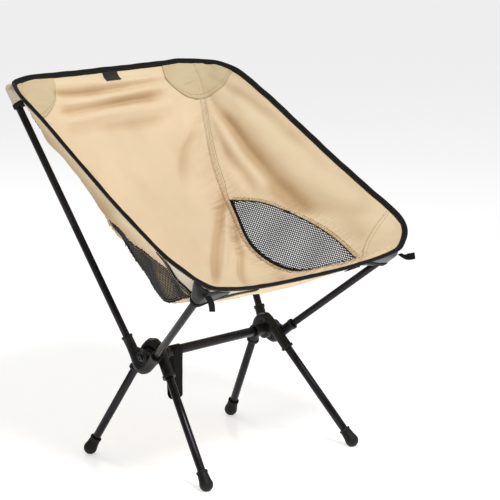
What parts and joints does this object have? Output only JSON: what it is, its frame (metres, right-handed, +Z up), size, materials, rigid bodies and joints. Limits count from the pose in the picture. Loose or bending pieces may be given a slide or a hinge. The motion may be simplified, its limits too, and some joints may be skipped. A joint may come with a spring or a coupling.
{
  "type": "folding backpacking chair",
  "caption": "Ultralight folding backpacking chair: bucket seat of coated cloth with mesh windows, hung on four tube poles over a crossbar and splayed legs.",
  "frame": {"origin": "centre of the bounding box on the floor", "axes": "+X towards the left side of someone sitting in it, -Y towards the front, +Z up"},
  "size_m": [0.5576, 0.5349, 0.6552],
  "materials": {
    "tube": "dark anodised aluminium tube",
    "plastic": "satin moulded plastic",
    "rubber": "matt rubber",
    "steel": "dark plated",
    "cord": "elastic cord",
    "webbing": "woven tape",
    "fabric": "coated plain weave",
    "patch": "coarse reinforcement weave",
    "mesh": "open mesh"
  },
  "bodies": {
    "base": {"crossbar": "tube", "crossbar_plug_left": "plastic", "leg_yoke_left": "plastic", "pivot_bolt_left": "steel", "pivot_washer_left": "steel", "leg_cord_front_left": "cord", "leg_cord_rear_left": "cord", "crossbar_plug_right": "plastic", "leg_yoke_right": "plastic", "pivot_bolt_right": "steel", "pivot_washer_right": "steel", "leg_cord_front_right": "cord", "leg_cord_rear_right": "cord"},
    "leg_front_left_unit": {"leg_front_left": "tube", "foot_front_left": "rubber"},
    "leg_rear_left_unit": {"leg_rear_left": "tube", "foot_rear_left": "rubber"},
    "leg_front_right_unit": {"leg_front_right": "tube", "foot_front_right": "rubber"},
    "leg_rear_right_unit": {"leg_rear_right": "tube", "foot_rear_right": "rubber"},
    "seat_frame": {"centre_panel": "fabric", "edge_binding": "webbing", "label_tag": "webbing", "pole_yoke_left": "plastic", "pole_tip_front_left": "plastic", "pole_cord_front_left": "cord", "corner_pocket_front_left": "webbing", "corner_patch_front_left": "patch", "pole_tip_rear_left": "plastic", "pole_cord_rear_left": "cord", "corner_pocket_rear_left": "patch", "corner_patch_rear_left": "patch", "pole_front_left": "tube", "pole_rear_lower_left": "tube", "pole_rear_upper_left": "tube", "pole_ferrule_left": "steel", "side_panel_left": "fabric", "mesh_window_left": "mesh", "seam_piping_left": "webbing", "pole_yoke_right": "plastic", "pole_tip_front_right": "plastic", "pole_cord_front_right": "cord", "corner_pocket_front_right": "webbing", "corner_patch_front_right": "patch", "pole_tip_rear_right": "plastic", "pole_cord_rear_right": "cord", "corner_pocket_rear_right": "patch", "corner_patch_rear_right": "patch", "pole_front_right": "tube", "pole_rear_lower_right": "tube", "pole_rear_upper_right": "tube", "pole_ferrule_right": "steel", "side_panel_right": "fabric", "mesh_window_right": "mesh", "seam_piping_right": "webbing"},
    "strap": {"storage_strap": "webbing"},
    "tab_left": {"pull_tab_left": "webbing"},
    "tab_right": {"pull_tab_right": "webbing"}
  },
  "joints": [
    {"name": "seat_fold", "type": "hinge", "parent": "base", "child": "seat_frame", "pos_m": [0, 0, 0.192], "axis": [1, 0, 0], "range_deg": [0, 60]},
    {"name": "leg_front_left_pull", "type": "slide", "parent": "base", "child": "leg_front_left_unit", "axis": [0.1735, -0.6179, -0.7669], "range_m": [0, 0.045], "stiffness_N_per_m": 120, "springref_m": -0.04},
    {"name": "leg_rear_left_pull", "type": "slide", "parent": "base", "child": "leg_rear_left_unit", "axis": [0.1656, 0.4874, -0.8574], "range_m": [0, 0.045], "stiffness_N_per_m": 120, "springref_m": -0.04},
    {"name": "leg_front_right_pull", "type": "slide", "parent": "base", "child": "leg_front_right_unit", "axis": [-0.1735, -0.6179, -0.7669], "range_m": [0, 0.045], "stiffness_N_per_m": 120, "springref_m": -0.04},
    {"name": "leg_rear_right_pull", "type": "slide", "parent": "base", "child": "leg_rear_right_unit", "axis": [-0.1656, 0.4874, -0.8574], "range_m": [0, 0.045], "stiffness_N_per_m": 120, "springref_m": -0.04},
    {"name": "strap_swing", "type": "hinge", "parent": "base", "child": "strap", "pos_m": [-0.086, 0, 0.192], "axis": [1, 0, 0], "range_deg": [-60, 60]},
    {"name": "tab_left_flap", "type": "hinge", "parent": "seat_frame", "child": "tab_left", "pos_m": [0.232, -0.231, 0.346], "axis": [1, 0, 0], "range_deg": [-10, 25], "stiffness_Nm_per_rad": 0.004},
    {"name": "tab_right_flap", "type": "hinge", "parent": "seat_frame", "child": "tab_right", "pos_m": [-0.232, -0.231, 0.346], "axis": [1, 0, 0], "range_deg": [-25, 20], "stiffness_Nm_per_rad": 0.004}
  ]
}
